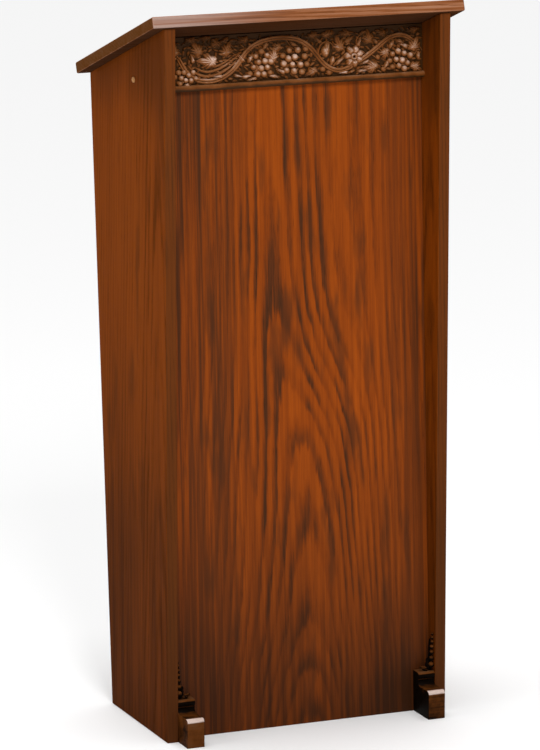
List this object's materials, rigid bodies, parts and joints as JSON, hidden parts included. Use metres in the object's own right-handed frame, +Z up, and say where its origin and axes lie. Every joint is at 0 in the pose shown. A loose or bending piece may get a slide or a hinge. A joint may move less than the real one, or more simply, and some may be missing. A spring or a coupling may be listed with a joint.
{
  "type": "floor lectern",
  "caption": "Tall box-form oak lectern: sloping desk with book ledge, leaning front panel under a carved grapevine frieze, stepped toes, and shelves open at the back.",
  "frame": {"origin": "centre of the object's floor rectangle, on the floor", "axes": "+X to the right seen from the front, -Y out of the front, +Y towards the reader, +Z up"},
  "size_m": [0.544, 0.3892, 1.2],
  "materials": {
    "oak_sides": "dark stained oak, thin satin varnish, long straight grain",
    "oak_panel": "stained flat-sawn oak, orange-brown, satin varnish",
    "oak_carving": "carved stained oak, dark in the hollows and rubbed pale on the high points",
    "oak_desk": "stained oak, satin varnish, worn arrises",
    "oak_inside": "thinly stained oak, dry and matt, unpolished",
    "oak_plugs": "stained oak dowel, end grain",
    "steel_screws": "dulled steel with brown tarnish"
  },
  "bodies": {
    "root": {"side_board_left": "oak_sides", "side_board_right": "oak_sides", "front_panel": "oak_panel", "carved_frieze": "oak_carving", "desk_board": "oak_desk", "book_ledge": "oak_desk", "desk_cleat_left": "oak_inside", "desk_cleat_right": "oak_inside", "head_rail": "oak_inside", "desk_bearer": "oak_inside", "rear_apron": "oak_inside", "shelf_board": "oak_inside", "shelf_cleat_left": "oak_inside", "shelf_cleat_right": "oak_inside", "bottom_board": "oak_inside", "bottom_cleat_left": "oak_inside", "bottom_cleat_right": "oak_inside", "rear_plinth": "oak_inside", "toe_block_left": "oak_carving", "toe_block_right": "oak_carving", "glue_blocks_left": "oak_inside", "glue_blocks_right": "oak_inside", "desk_screws": "steel_screws", "cleat_screws": "steel_screws", "bearer_screws": "steel_screws", "side_plugs": "oak_plugs", "ledge_screws": "steel_screws", "frieze_pins": "steel_screws", "toe_screws": "steel_screws", "rail_dowels": "oak_plugs"}
  },
  "joints": []
}
